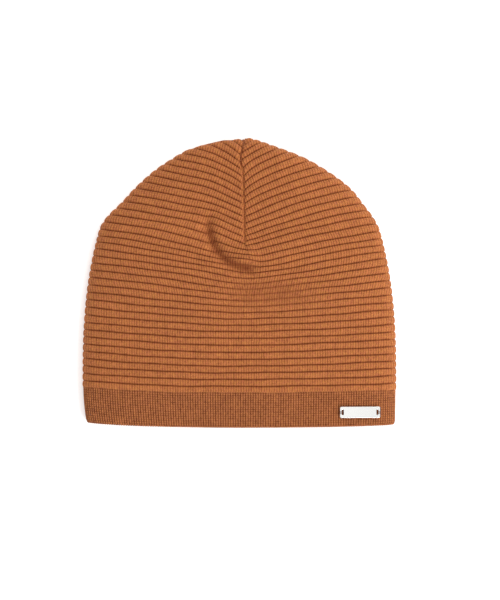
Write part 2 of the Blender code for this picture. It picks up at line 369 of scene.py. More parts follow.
    def _own_centre(self, side: Side, course: Array) -> Array:
        """Height at which one side's courses reach the centre seam.

        Args:
            side: left or right of the centre seam.
            course: groove numbers, whole at a groove.

        Returns:
            Height of each course at the seam.
        """
        line = self.courses[side]
        grown = smooth((course - line.drop_from) / line.drop_over)
        drop = mix(line.drop_start, line.drop_crown, grown)
        return line.edge_start + line.pitch * course - drop

    def course_height(self, side: Side, course: Array, away: Array) -> Array:
        """Height of a course above the hem.

        Args:
            side: left or right of the centre seam.
            course: groove number, whole at a groove.
            away: distance from the seam.

        Returns:
            Height above the hem.
        """
        line = self.courses[side]
        edge = line.edge_start + line.pitch * course
        own = self._own_centre(side, course)
        common = (self._own_centre(Side.LEFT, course) + self._own_centre(Side.RIGHT, course)) / 2
        centre = mix(common, own, smooth((course - self.tip_course) / 4.0))
        crown = smooth(course / 15.0)
        bend = mix(1.0, line.crown_bend, np.clip((course - line.bend_from) / 20.0, 0.0, 1.0))
        rounding = self.round_below_tip * (1.0 - smooth((course - self.tip_course + 1.0) / 3.0))
        rounded = np.sqrt(away ** 2 + rounding ** 2) - rounding
        share = np.clip(rounded / self.reach, 0.0, 1.0) ** mix(2.2, 1.0, crown)
        relaxed = 0.9 * np.exp(-((course - 16.0) / 5.0) ** 2) - 2.3 * smooth((course - 19.0) / 6.0)
        sagging = -1.4 * np.exp(-((course - 5.0) / 2.6) ** 2 - (away / 60.0) ** 2)
        drawn = -3.2 * smooth((course - 28.0) / 6.0) * np.exp(-away / 5.0)
        if side is Side.LEFT:
            drawn = drawn + 1.7 * smooth((course - 21.0) / 6.0) * np.exp(-((away - 24.0) / 16.0) ** 2)
        edge, centre = edge + relaxed + sagging + drawn, centre + relaxed + sagging + drawn
        wave = 0.30 * np.sin(away / 8.5 + course * 1.3 + side.value) * np.sin(away / 27.0 + course * 0.37)
        height = edge - (edge - centre) * (1.0 - share) ** bend + wave * smooth(away / 12.0)
        return height + self._gather(self.seam_x(height) + side.value * away, height)

    def point(self, side: Side, course: Array, away: Array) -> tuple[Array, Array]:
        """X and height of a place on a course."""
        height = self.course_height(side, course, away)
        kept = np.clip(1.0 - away / self.reach, 0.0, 1.0)
        return self.seam_x(height) * kept + side.value * away, height

    def course_end(self, side: Side, course: Array, inset: float) -> Array:
        """Distance from the seam at which each course reaches the outline.

        Args:
            side: left or right of the centre seam.
            course: groove numbers, whole at a groove.
            inset: distance in from the outer face.

        Returns:
            One distance for each course.
        """
        near, far = np.zeros_like(course), np.full_like(course, 130.0)
        for _ in range(40):
            middle = (near + far) / 2
            x, height = self.point(side, course, middle)
            beyond = np.abs(x - self.lean(height)) > self.outline(height, inset * self.side_share)
            if side is Side.LEFT:
                beyond |= height > self.height - self.left_below_tip - inset * self.side_share
            far = np.where(beyond, middle, far)
            near = np.where(beyond, near, middle)
        return (near + far) / 2

    def closing_rise(self, side: Side, height: Array, away: Array) -> Array:
        """How much higher the loft is read on the lower side of the crown tip, so that it closes there.

        Args:
            side: left or right of the centre seam.
            height: heights above the hem.
            away: distances from the seam.

        Returns:
            Extra height at each place, 0 on the right side.
        """
        if side is Side.RIGHT:
            return np.zeros_like(height)
        return self.left_below_tip * smooth((height - 205.0) / 8.0) * smooth(away / 1.5)

    def last_course(self, side: Side, inset: float) -> float:
        """Course at which the seam leaves the outline at the crown tip."""
        tried = np.linspace(30.0, 44.0, 1401)
        return float(tried[np.argmax(self.course_end(side, tried, inset) < 0.6)])


# ---------------------------------------------------------------- meshes and nodes
def grid_faces(rows: int, columns: int) -> Array:
    """Quads of a grid stored row by row.

    Args:
        rows: points along the grid.
        columns: points across it.

    Returns:
        Four vertex numbers for each quad.
    """
    index = np.arange(rows * columns).reshape(rows, columns)
    corners = (index[:-1, :-1], index[:-1, 1:], index[1:, 1:], index[1:, :-1])
    return np.stack([corner.ravel() for corner in corners], axis=1)


def grid_normals(points: Array) -> Array:
    """Unit normals of a grid of points, row direction crossed with column direction.

    Args:
        points: grid of X, Y and Z.

    Returns:
        One direction for each point.
    """
    over = np.gradient(points, axis=1)
    along = np.gradient(points, axis=0)
    normal = np.cross(over, along)
    length = np.linalg.norm(normal, axis=2, keepdims=True)
    return normal / np.maximum(length, 1e-9)


def border(rows: int, columns: int) -> list[int]:
    """Indices round the edge of a grid, in the order its faces turn."""
    index = np.arange(rows * columns).reshape(rows, columns)
    return [*index[0, :], *index[1:, -1], *index[-1, -2::-1], *index[-2:0:-1, 0]]


def shell_faces(rows: int, columns: int) -> list[tuple[int, ...]]:
    """Faces of a closed wall: an outer grid, an inner one after it, and their rim.

    Args:
        rows: points along the grid.
        columns: points across it.

    Returns:
        Vertex numbers of each face.
    """
    count = rows * columns
    outer = grid_faces(rows, columns)
    inner = outer[:, ::-1] + count
    rim = border(rows, columns)
    after = rim[1:] + rim[:1]
    edges = [(b, a, a + count, b + count) for a, b in zip(rim, after)]
    return [*map(tuple, outer.tolist()), *map(tuple, inner.tolist()), *edges]


def place(x: Array, height: Array, z: Array, form: HatForm) -> Array:
    """Points in the frame, in metres, from millimetres on the laid hat."""
    return np.stack([x, height - form.height / 2, z], axis=-1) * MM


def make_object(name: str, points: Array, faces: list[tuple[int, ...]]) -> bpy.types.Object:
    """Object at the origin with a smooth mesh.

    Args:
        name: name of the piece.
        points: one row of X, Y and Z for each vertex, in metres.
        faces: vertex numbers of each face.

    Returns:
        The linked object.
    """
    mesh = bpy.data.meshes.new(name)
    mesh.from_pydata(points.reshape(-1, 3).tolist(), [], faces)
    mesh.shade_smooth()
    made = bpy.data.objects.new(name, mesh)
    bpy.context.scene.collection.objects.link(made)
    return made


def store(piece: bpy.types.Object, name: str, values: Array) -> None:
    """Store a number for each vertex of a piece."""
    attribute = piece.data.attributes.new(name, 'FLOAT', 'POINT')
    attribute.data.foreach_set("value", np.ascontiguousarray(values, np.float32).ravel())


def store_vector(piece: bpy.types.Object, name: str, values: Array) -> None:
    """Store a direction for each vertex of a piece."""
    attribute = piece.data.attributes.new(name, 'FLOAT_VECTOR', 'POINT')
    attribute.data.foreach_set("vector", np.ascontiguousarray(values, np.float32).ravel())


def store_uv(piece: bpy.types.Object, u: Array, v: Array) -> None:
    """Give a piece a UV map from two numbers for each vertex.

    Args:
        piece: object to map.
        u: first number of each vertex.
        v: second number of each vertex.
    """
    layer = piece.data.uv_layers.new(name="knit")
    corner = np.zeros(len(piece.data.loops), np.int32)
    piece.data.loops.foreach_get("vertex_index", corner)
    pairs = np.stack([np.ravel(u), np.ravel(v)], axis=1)[corner]
    layer.data.foreach_set("uv", np.ascontiguousarray(pairs, np.float32).ravel())


def add_node(tree: bpy.types.NodeTree, kind: str, settings: dict | None = None,
             **inputs: object) -> bpy.types.Node:
    """Add a node with its settings and input values or links.

    Args:
        tree: tree the node goes in.
        kind: Blender's name for the node type.
        settings: properties of the node, such as its operation.
        inputs: input by name, or by i and its number; a socket is linked, a value is set.

    Returns:
        The new node.
    """
    node = tree.nodes.new(kind)
    for name, value in (settings or {}).items():
        setattr(node, name, value)
    for name, value in inputs.items():
        key = int(name[1:]) if name[0] == "i" and name[1:].isdigit() else name.replace("_", " ")
        socket = node.inputs[key]
        if isinstance(value, bpy.types.NodeSocket):
            tree.links.new(value, socket)
        else:
            socket.default_value = value
    return node


def calc(tree: bpy.types.NodeTree, operation: str, *values: object) -> bpy.types.NodeSocket:
    """Result of a maths node on sockets or numbers."""
    inputs = {f"i{at}": value for at, value in enumerate(values)}
    return add_node(tree, "ShaderNodeMath", {"operation": operation}, **inputs).outputs[0]


class RibTree:
    """Geometry Nodes tree that raises round ribs along a stored thread coordinate."""

    ROUNDNESS, FLANK = 2.2, 0.6
    INPUTS = {"Rib height": 0.0018, "Roundness": ROUNDNESS, "Flank": FLANK}

    def __init__(self) -> None:
        """Build the tree once for all the knitted pieces."""
        self.tree = bpy.data.node_groups.new("raise_ribs", 'GeometryNodeTree')
        interface = self.tree.interface
        interface.new_socket("Geometry", in_out='INPUT', socket_type='NodeSocketGeometry')
        for name, value in self.INPUTS.items():
            socket = interface.new_socket(name, in_out='INPUT', socket_type='NodeSocketFloat')
            socket.default_value = value
        interface.new_socket("Finish", in_out='INPUT', socket_type='NodeSocketMaterial')
        interface.new_socket("Geometry", in_out='OUTPUT', socket_type='NodeSocketGeometry')
        self._fill()

    def _read(self, name: str, kind: str) -> bpy.types.NodeSocket:
        """Socket with a stored value of each vertex."""
        node = add_node(self.tree, "GeometryNodeInputNamedAttribute", {"data_type": kind}, Name=name)
        return node.outputs["Attribute"]

    def _fill(self) -> None:
        """Lift each vertex by a rounded rib profile across the thread coordinate."""
        tree = self.tree
        source = add_node(tree, "NodeGroupInput")
        across = calc(tree, 'FRACT', self._read("thread", 'FLOAT'))
        centred = calc(tree, 'ABSOLUTE', calc(tree, 'MULTIPLY_ADD', across, 2.0, -1.0))
        bulge = calc(tree, 'SUBTRACT', 1.0, calc(tree, 'POWER', centred, source.outputs["Roundness"]))
        profile = calc(tree, 'POWER', calc(tree, 'MAXIMUM', bulge, 0.0), source.outputs["Flank"])
        raised = calc(tree, 'MULTIPLY', profile, source.outputs["Rib height"])
        lifted = calc(tree, 'MULTIPLY', raised, self._read("fade", 'FLOAT'))
        offset = add_node(tree, "ShaderNodeVectorMath", {"operation": 'SCALE'},
                          i0=self._read("outward", 'FLOAT_VECTOR'), Scale=lifted)
        moved = add_node(tree, "GeometryNodeSetPosition", None,
                         Geometry=source.outputs["Geometry"], Offset=offset.outputs[0])
        real = add_node(tree, "GeometryNodeRealizeInstances", None, Geometry=moved.outputs[0])
        dressed = add_node(tree, "GeometryNodeSetMaterial", None,
                           Geometry=real.outputs[0], Material=source.outputs["Finish"])
        add_node(tree, "NodeGroupOutput", None, Geometry=dressed.outputs[0])

    def apply(self, piece: bpy.types.Object, finish: bpy.types.Material, **sizes: float) -> None:
        """Raise the ribs on a piece and keep the result as its mesh.

        Args:
            piece: object with thread, fade and outward stored on its vertices.
            finish: material of the piece.
            sizes: rib height, roundness or flank where they differ from the usual.
        """
        modifier = piece.modifiers.new("ribs", 'NODES')
        modifier.node_group = self.tree
        values = {name.replace("_", " ").capitalize(): value for name, value in sizes.items()}
        for item in self.tree.interface.items_tree:
            if item.in_out == 'INPUT' and item.name in values:
                modifier[item.identifier] = values[item.name]
            if item.in_out == 'INPUT' and item.name == "Finish":
                modifier[item.identifier] = finish
        bake(piece)


def bake(piece: bpy.types.Object) -> None:
    """Turn a piece's modifiers into its plain mesh.

    Args:
        piece: object to change.
    """
    graph = bpy.context.evaluated_depsgraph_get()
    result = bpy.data.meshes.new_from_object(piece.evaluated_get(graph))
    piece.modifiers.clear()
    piece.data = result
    piece.data.name = piece.name


# ---------------------------------------------------------------- finishes
@dataclass(frozen=True)
class KnitFinish:
    """Combed wool and acrylic yarn, knitted: matt, slightly fuzzy, with painted shade between the ribs and
    between the stitches.
    """

    name: str
    crest: str
    fleck: str
    # The groove colour and the shares and shades below set painted shade: in the grooves between ridges and
    # in the gaps between stitches the colour is mixed towards the groove colour.
    groove: str
    wale_pitch: float         # millimetres from one column of stitches to the next
    stitch_pitch: float       # height of one stitch, in units of the v coordinate
    stitch_depth: float       # millimetres
    groove_share: float       # how far up a ridge's flank the shade between ridges reaches
    loop_share: float         # how much each loop shows within its column
    gap_shade: float          # how dark the gaps between stitches are
    groove_shade: float       # how dark the groove between ridges is
    wale_drift: float         # millimetres that the columns wander sideways

    def make(self) -> bpy.types.Material:
        """Build the material.

        Returns:
            Material that reads the knit UV map: u in millimetres, v in ribs or millimetres.
        """
        made = bpy.data.materials.new(self.name)
        made.use_nodes = True
        tree = made.node_tree
        shader = tree.nodes["Principled BSDF"]
        place_at = add_node(tree, "ShaderNodeUVMap", {"uv_map": "knit"})
        parts = add_node(tree, "ShaderNodeSeparateXYZ", None, Vector=place_at.outputs[0])
        where = add_node(tree, "ShaderNodeTexCoord").outputs["Object"]
        drift = add_node(tree, "ShaderNodeTexNoise", None, Vector=where, Scale=230.0, Detail=2.0)
        u = calc(tree, 'MULTIPLY_ADD', drift.outputs["Fac"], self.wale_drift, parts.outputs[0])
        v = parts.outputs[1]

        wale = calc(tree, 'FRACT', calc(tree, 'DIVIDE', u, self.wale_pitch))
        off_centre = calc(tree, 'ABSOLUTE', calc(tree, 'MULTIPLY_ADD', wale, 2.0, -1.0))
        column = calc(tree, 'SUBTRACT', 1.0, calc(tree, 'POWER', off_centre, 2.4))
        lean = calc(tree, 'MULTIPLY_ADD', off_centre, 0.45, calc(tree, 'DIVIDE', v, self.stitch_pitch))
        loop = calc(tree, 'MULTIPLY_ADD', calc(tree, 'SINE', calc(tree, 'MULTIPLY', lean, tau)), 0.5, 0.5)
        stitch = calc(tree, 'MULTIPLY', column, calc(tree, 'MULTIPLY_ADD', loop, self.loop_share,
                                                     1.0 - self.loop_share))

        fuzz = add_node(tree, "ShaderNodeTexNoise", None, Vector=where, Scale=2600.0, Detail=3.0)
        height = calc(tree, 'MULTIPLY_ADD', fuzz.outputs["Fac"], 0.35, stitch)
        bump = add_node(tree, "ShaderNodeBump", None, Strength=1.0,
                        Distance=self.stitch_depth * MM, Height=height)

        # Painted shade: the colour is mixed towards the groove colour where the stored relief is low
        # (grooves, crease and flat patch) and, unevenly, in the gaps between stitches.
        depth = add_node(tree, "ShaderNodeAttribute", {"attribute_name": "painted_shade_relief"}).outputs["Fac"]
        shade = add_node(tree, "ShaderNodeMapRange", {"interpolation_type": 'SMOOTHSTEP'},
                         Value=depth, From_Min=0.0, From_Max=self.groove_share,
                         To_Min=1.0, To_Max=0.0)
        uneven = add_node(tree, "ShaderNodeTexNoise", None, Vector=where, Scale=420.0, Detail=3.0)
        strength = calc(tree, 'MAXIMUM', calc(tree, 'MULTIPLY_ADD', uneven.outputs["Fac"], 2.6, -0.3), 0.0)
        gap = calc(tree, 'MULTIPLY', calc(tree, 'SUBTRACT', 1.0, stitch), self.gap_shade)
        between = calc(tree, 'MINIMUM', calc(tree, 'MULTIPLY', gap, strength), 1.0)
        groove = calc(tree, 'MULTIPLY', shade.outputs[0], self.groove_shade)
        lit = calc(tree, 'MULTIPLY', calc(tree, 'SUBTRACT', 1.0, groove),
                   calc(tree, 'SUBTRACT', 1.0, between))
        dark = calc(tree, 'SUBTRACT', 1.0, lit)
        dye = add_node(tree, "ShaderNodeTexNoise", None, Vector=where, Scale=140.0, Detail=4.0)
        heather = add_node(tree, "ShaderNodeMapRange", None, Value=dye.outputs["Fac"],
                           From_Min=0.3, From_Max=0.7, To_Min=0.93, To_Max=1.06)
        fibre = add_node(tree, "ShaderNodeTexNoise", None, Vector=where, Scale=650.0, Detail=3.0)
        fleck = add_node(tree, "ShaderNodeMapRange", None, Value=fibre.outputs["Fac"],
                         From_Min=0.35, From_Max=0.65)
        crest = add_node(tree, "ShaderNodeMix", {"data_type": 'RGBA'}, i0=fleck.outputs[0],
                         i6=srgb(self.crest), i7=srgb(self.fleck))
        colour = add_node(tree, "ShaderNodeMix", {"data_type": 'RGBA'}, i0=dark,
                          i6=crest.outputs[2], i7=srgb(self.groove))
        tinted = add_node(tree, "ShaderNodeVectorMath", {"operation": 'SCALE'},
                          i0=colour.outputs[2], Scale=heather.outputs[0])
        tree.links.new(tinted.outputs[0], shader.inputs["Base Color"])
        tree.links.new(bump.outputs[0], shader.inputs["Normal"])
        shader.inputs["Roughness"].default_value = 0.88
        shader.inputs["Specular IOR Level"].default_value = 0.2
        shader.inputs["Sheen Weight"].default_value = 0.10
        shader.inputs["Sheen Roughness"].default_value = 0.45
        shader.inputs["Sheen Tint"].default_value = srgb("E8A878")
        return made


@dataclass(frozen=True)
class PlainFinish:
    """Finish of a small part, with a fine grain in its surface."""

    name: str
    colour: str
    dark: str
    roughness: float
    metallic: float = 0.0
    grain: float = 900.0
    bump: float = 0.05
    sheen: float = 0.0

    def make(self) -> bpy.types.Material:
        """Build the material on object coordinates.

        Returns:
            The material.
        """
        made = bpy.data.materials.new(self.name)
        made.use_nodes = True
        tree = made.node_tree
        shader = tree.nodes["Principled BSDF"]
        where = add_node(tree, "ShaderNodeTexCoord").outputs["Object"]
        noise = add_node(tree, "ShaderNodeTexNoise", None, Vector=where, Scale=self.grain, Detail=4.0)
        colour = add_node(tree, "ShaderNodeMix", {"data_type": 'RGBA'}, i0=noise.outputs["Fac"],
                          i6=srgb(self.dark), i7=srgb(self.colour))
        rough = add_node(tree, "ShaderNodeMapRange", None, Value=noise.outputs["Fac"],
                         From_Min=0.3, From_Max=0.7,
                         To_Min=self.roughness * 0.85, To_Max=min(self.roughness * 1.15, 1.0))
        bump = add_node(tree, "ShaderNodeBump", None, Strength=1.0, Distance=self.bump * MM,
                        Height=noise.outputs["Fac"])
        tree.links.new(colour.outputs[2], shader.inputs["Base Color"])
        tree.links.new(rough.outputs[0], shader.inputs["Roughness"])
        tree.links.new(bump.outputs[0], shader.inputs["Normal"])
        shader.inputs["Metallic"].default_value = self.metallic
        shader.inputs["Sheen Weight"].default_value = self.sheen
        return made


# Combed wool and acrylic yarn, knitted in rolled ridges across the body: matt and a little fuzzy, so light
# spreads softly over each ridge and dies in the groove, where painted shade darkens it further; the stitch
# gaps get painted shade too. Fuzz is finer than shows; it is drawn 0.4 mm coarse.
BODY_KNIT = KnitFinish("combed_yarn_ridge_knit", crest="CC8145", fleck="C67549", groove="652204",
                       wale_pitch=1.88, stitch_pitch=0.25, stitch_depth=0.55, groove_share=0.8,
                       loop_share=0.50, gap_shade=0.56, groove_shade=0.85, wale_drift=1.1)
# The same yarn in a fine rib, knitted tighter: a closer, slightly darker grain, with painted shade between
# the ribs and in the gaps at every loop.
BAND_KNIT = KnitFinish("combed_yarn_fine_rib", crest="C77C46", fleck="C1754A", groove="58220A",
                       wale_pitch=1.88, stitch_pitch=1.71, stitch_depth=0.50, groove_share=0.8,
                       loop_share=0.85, gap_shade=0.66, groove_shade=0.85, wale_drift=0.3)
# The same yarn as sewing ends: matt, a little darker where it is drawn tight.
SEAM_YARN = PlainFinish("combed_yarn_seam", "BE7548", "8A4A24", 0.9, bump=0.12, sheen=0.15)
# Spun polyester sewing thread, dyed brown: a faint gloss against the matt yarn.
DARK_THREAD = PlainFinish("polyester_plate_thread", "6A3320", "43200F", 0.6, bump=0.05)
# Spun polyester sewing thread, left white: small bright stitches at the label's edge.
PALE_THREAD = PlainFinish("polyester_label_thread", "E9E4DA", "CFC8BC", 0.6, bump=0.04)
# Stamped steel, nickel plated and polished: it mirrors the pale surroundings, so it looks nearly white.
POLISHED_STEEL = PlainFinish("polished_nickel_plate", "F4F4F2", "E9E9E6", 0.16, metallic=1.0,
                             grain=300.0, bump=0.002)
# Polyester satin ribbon, woven: smooth and softly shiny, white with a warm cast.
SATIN_RIBBON = PlainFinish("woven_satin_ribbon", "F2EFE9", "E0DCD3", 0.42, grain=1500.0, bump=0.03, sheen=0.3)


# ---------------------------------------------------------------- knitted pieces
@dataclass
class KnitBody:
    """The ridged tube from the band to the crown, darted at the centre."""

    form: HatForm
    ribs: RibTree
    finish: bpy.types.Material
    columns: int = 62
    seam_dips: tuple[float, float] = (0.0, 0.3)      # how deep the left and right edges dip
    top_dip: float = 3.4                             # the same at the crown tip
    dip_widths: tuple[float, float] = (3.0, 4.6)     # how wide the dip is below the tip, and at it
    patch_fade: float = 0.58                         # how much lower the ridges stand in the flat patch
    patch_shadow: float = 0.45
    crease_fade: float = 0.8                         # how much lower the ridges stand in the crease
    crease_shadow: float = 0.68
    wale_tilt: float = 19.0                          # degrees that the stitch columns turn in the crown
    inner_relief: float = 0.8                        # shade of the inside, which has no grooves

    PROFILE = (0.0, 0.05, 0.14, 0.28, 0.5, 0.72, 0.86, 0.95)

    def _levels(self, side: Side) -> Array:
        """Course numbers of the grid's rows, close together in the grooves.

        Args:
            side: left or right of the centre seam.

        Returns:
            Course numbers from the band to the crown tip.
        """
        last = self.form.last_course(side, self.form.ridge)
        whole = np.arange(0, int(last) + 1)
        levels = (whole[:, None] + np.array(self.PROFILE)[None, :]).ravel()
        return np.append(levels[levels < last - 0.03], last)

    def _side(self, side: Side, layer: Layer) -> dict[str, Array]:
        """Points, directions and thread coordinates of one side of one layer.

        Args:
            side: left or right of the centre seam.
            layer: front or back.

        Returns:
            A grid of each: points, outward, fade, thread, wale and shadow.
        """
        form = self.form
        levels = self._levels(side)
        end = form.course_end(side, levels, form.ridge)
        step = np.linspace(0.0, 1.0, self.columns + 1)
        away = end[:, None] * np.sin(pi / 2 * step ** 1.4)[None, :]
        course = np.repeat(levels[:, None], len(step), axis=1)
        x, height = form.point(side, course, away)
        closing = form.closing_rise(side, height, away)
        z = form.layer_z(layer, x, height + closing, form.ridge)
        above_tip = smooth((height - form.dart_tip) / 6.0)
        near_top = form.parting(height)
        dip = mix(self.seam_dips[side is Side.RIGHT], self.top_dip, near_top) * above_tip
        width = mix(*self.dip_widths, near_top)
        from_fold = np.clip(np.abs(form.fold_z - z) / 5.0, 0.0, 1.0)
        z = z + dip_of(layer) * from_fold * dip * np.clip(1.0 - away / width, 0.0, 1.0) ** 2
        points = place(x, height, z, form)
        normals = grid_normals(points) * side.value * (1.0 if layer is Layer.FRONT else -1.0)
        normals[:, -1, 2] = 0.0
        normals[:, 0, 0] = 0.0
        for edge in (0, -1):
            normals[:, edge] /= np.maximum(np.linalg.norm(normals[:, edge], axis=1, keepdims=True), 1e-9)
        flat_patch = form.flat_patch(x, height) * (layer is Layer.FRONT)
        fade = 1.0 - above_tip * (1.0 - smooth(away / 1.8))
        sunk = form.sunk(x, height) * (layer is Layer.FRONT)
        fade = fade * (1.0 - self.patch_fade * flat_patch) * (1.0 - self.crease_fade * sunk)
        fade = fade * smooth((end[:, None] + 1.0) / 5.0)
        fade = fade * mix(1.0, form.side_share, smooth(1.0 - (end[:, None] - away) / 7.0))
        tilt = np.radians(side.value * self.wale_tilt) * smooth((height - 96.0) / 44.0)
        wale = x * np.cos(tilt) + (height - form.dart_tip) * np.sin(tilt)
        # Painted shadow in the flat patch and in the crease round the dart's tip: it only darkens the knit's
        # colour, through the stored relief.
        shadow = self.patch_shadow * flat_patch + self.crease_shadow * sunk
        return {"points": points, "outward": normals, "fade": fade, "thread": course, "wale": wale,
                "shadow": shadow}

    def _relief(self, course: Array, fade: Array) -> Array:
        """How far above the groove a point lies, from 0 to 1."""
        profile = (1.0 - np.abs(2.0 * (course % 1.0) - 1.0) ** RibTree.ROUNDNESS) ** RibTree.FLANK
        return 1.0 - (1.0 - profile) * np.clip(fade, 0.0, 1.0)

    def build(self, layer: Layer) -> bpy.types.Object:
        """Make the front or the back of the body.

        Args:
            layer: front or back.

        Returns:
            The finished piece.
        """
        name = f"ridged_body_{layer.value}"
        wall = self.form.wall_below_groove * MM
        all_points, faces = [], []
        stored = {"fade": [], "thread": [], "outward": [], "wale": [], "painted_shade_relief": []}
        start = 0
        for side in Side:
            data = self._side(side, layer)
            rows, columns = data["thread"].shape
            outer, outward = data["points"], data["outward"]
            inner = outer - outward * wall
            new_faces = shell_faces(rows, columns)
            if (side is Side.LEFT) == (layer is Layer.FRONT):
                new_faces = [face[::-1] for face in new_faces]
            faces += [tuple(corner + start for corner in face) for face in new_faces]
            # Painted shade: the rib profile, lowered further by the painted shadow, sets how far the colour
            # turns to the dark groove colour.
            painted_shade_relief = self._relief(data["thread"], data["fade"]) * (1.0 - data["shadow"])
            plain = np.full_like(painted_shade_relief, self.inner_relief)
            for points, share, shade in ((outer, 1.0, painted_shade_relief), (inner, 0.0, plain)):
                all_points.append(points.reshape(-1, 3))
                stored["fade"].append((data["fade"] * share).ravel())
                stored["thread"].append(data["thread"].ravel())
                stored["outward"].append(outward.reshape(-1, 3))
                stored["wale"].append(data["wale"].ravel())
                stored["painted_shade_relief"].append(shade.ravel())
            start += 2 * rows * columns
        joined = {key: np.concatenate(values) for key, values in stored.items()}
        piece = make_object(name, np.concatenate(all_points), faces)
        store(piece, "fade", joined["fade"])
        store(piece, "thread", joined["thread"])
        store(piece, "painted_shade_relief", joined["painted_shade_relief"])
        store_vector(piece, "outward", joined["outward"])
        store_uv(piece, joined["wale"], joined["thread"])
        self.ribs.apply(piece, self.finish, rib_height=self.form.ridge * MM)
        return piece

    def cut(self) -> tuple[tuple[float, float], float]:
        """Flat width and length of the body's front or back, and the area that the darts leave of it.

        Returns:
            Width and length in metres, and the area in square metres.
        """
        form = self.form
        length = form.height - form.join
        widths = 2.0 * form.outline(np.linspace(form.join, form.height, 200))
        return (float(widths.max()) * MM, length * MM), float(widths.mean()) * length * MM ** 2


@dataclass
class HemBand:
    """The plain fine-rib band, folded at the lower edge and knitted double."""

    form: HatForm
    ribs: RibTree
    finish: bpy.types.Material
    rib_pitch: float = 1.88
    steps_per_rib: int = 4
    rib_height: float = 0.5
    thickness: float = 2.9
    corner: float = 3.0
    rise_left: float = 3.0
    rise_right: float = 1.7
    narrowing: float = 0.8
    taper_left: float = 1.4
    taper_right: float = -0.6
    outer_rows: int = 14
    fold_rows: int = 7
    inner_rows: int = 8

    def _shares(self, layer: Layer) -> Array:
        """Where the grid's columns lie across the band, equal steps along the fabric.

        Args:
            layer: front or back.

        Returns:
            Share of the half width at each column, from -1 to 1.
        """
        form = self.form
        dense = np.sin(np.linspace(-pi / 2, pi / 2, 4001))
        middle = np.full_like(dense, form.join / 2)
        width = form.outline(middle, self.rib_height * form.side_share)
        z = form.layer_z(layer, dense * width, middle, self.rib_height)
        run = np.concatenate([[0.0], np.cumsum(np.hypot(np.diff(dense * width), np.diff(z)))])
        ribs = round(run[-1] / self.rib_pitch)
        steps = np.linspace(0.0, run[-1], ribs * self.steps_per_rib + 1)
        return np.interp(steps, run, dense)

    def _rim(self, x: Array) -> Array:
        """Height of the folded lower edge."""
        share = np.abs(x) / self.form.half_width
        return np.where(x < 0.0, self.rise_left, self.rise_right) * share ** 2

    def _top(self, share: Array) -> Array:
        """Height at which the band meets the body.

        Args:
            share: places across the band, from -1 to 1.

        Returns:
            Height above the hem at each place.
        """
        away = np.abs(share) * self.form.half_width
        left = self.form.course_height(Side.LEFT, np.zeros_like(away), away)
        right = self.form.course_height(Side.RIGHT, np.zeros_like(away), away)
        return np.where(share < 0.0, left, right)

    def build(self, layer: Layer) -> bpy.types.Object:
        """Make the front or the back of the band.

        Args:
            layer: front or back.

        Returns:
            The finished piece.
        """
        form = self.form
        share = self._shares(layer)
        down = np.linspace(0.0, 1.0, self.outer_rows + 1)
        top = self._top(share) + 1.0
        rim = self._rim(share * form.half_width) + self.thickness / 2
        height = mix(top[None, :], rim[None, :], down[:, None])
        above = height - rim[None, :] + self.thickness / 2
        into = np.clip(self.corner - above, 0.0, self.corner)
        corner_loss = self.corner - np.sqrt(self.corner ** 2 - into ** 2)
        full = form.outline(height, self.rib_height * form.side_share)
        taper = mix(self.taper_right, self.taper_left, (share < 0.0).astype(float))
        width = full - self.narrowing - taper[None, :] * down[:, None] ** 2
        width = width - corner_loss * np.abs(share)[None, :] ** 6
        x = share[None, :] * width
        z = form.layer_z(layer, x * (full / width), height, self.rib_height)
        outer = place(x, height, z, form)
        facing = -1.0 if layer is Layer.FRONT else 1.0
        normal = grid_normals(outer) * facing
        for end in (0, -1):
            normal[:, end, 2] = 0.0
            normal[:, end] /= np.linalg.norm(normal[:, end], axis=1, keepdims=True)
        tangent = outer[-1] - outer[-2]
        tangent /= np.linalg.norm(tangent, axis=1, keepdims=True)
        radius = (self.thickness / 2 - self.rib_height) * MM
        centre = outer[-1] - normal[-1] * radius
        rows, directions = [outer], [normal]
        for step in range(1, self.fold_rows + 1):
            angle = pi * step / (self.fold_rows + 1)
            direction = normal[-1] * cos(angle) + tangent * sin(angle)
            rows.append((centre + direction * radius)[None])
            directions.append(direction[None])
        inner = (outer - normal * 2 * radius)[::-1]
        picked = np.linspace(0, self.outer_rows, self.inner_rows + 1).astype(int)
        rows.append(inner[picked])
        directions.append(-normal[::-1][picked])
        points, outward = np.concatenate(rows), np.concatenate(directions)
        count, columns = points.shape[:2]
        thread = np.repeat((np.arange(columns) / self.steps_per_rib)[None, :], count, axis=0)
        run = np.cumsum(np.linalg.norm(np.diff(points, axis=0, prepend=points[:1]), axis=2), axis=0) / MM
        faces = grid_faces(count, columns)
        if layer is Layer.FRONT:
            faces = faces[:, ::-1]
        top_edge = [(a, a + 1) for a in range(columns - 1)]
        last = (count - 1) * columns
        rims = [(b, a, a + last, b + last) for a, b in top_edge]
        sides = []
        for row in range(count // 2):
            low, high = row, count - 1 - row
            if high - low < 2:
                break
            for column, turn in ((0, 1), (columns - 1, -1)):
                loop = [low * columns + column, (low + 1) * columns + column,
                        (high - 1) * columns + column, high * columns + column]
                sides.append(tuple(loop[::turn]))
        if layer is Layer.BACK:
            rims = [face[::-1] for face in rims]
            sides = [face[::-1] for face in sides]
        name = f"fine_rib_band_{layer.value}"
        piece = make_object(name, points, [*map(tuple, faces.tolist()), *rims, *sides])
        store(piece, "fade", np.ones(points.shape[:2]))
        store(piece, "thread", thread)
        store_vector(piece, "outward", outward)
        across = np.abs(2.0 * (thread % 1.0) - 1.0)
        # Painted shade between the band's ribs: the colour turns to the dark groove colour where this is low.
        store(piece, "painted_shade_relief", 0.12 + 0.88 * (1.0 - across ** 2.0))
        store_uv(piece, thread * self.rib_pitch, run)
        self.ribs.apply(piece, self.finish, rib_height=self.rib_height * MM, roundness=2.0, flank=0.6)
        return piece


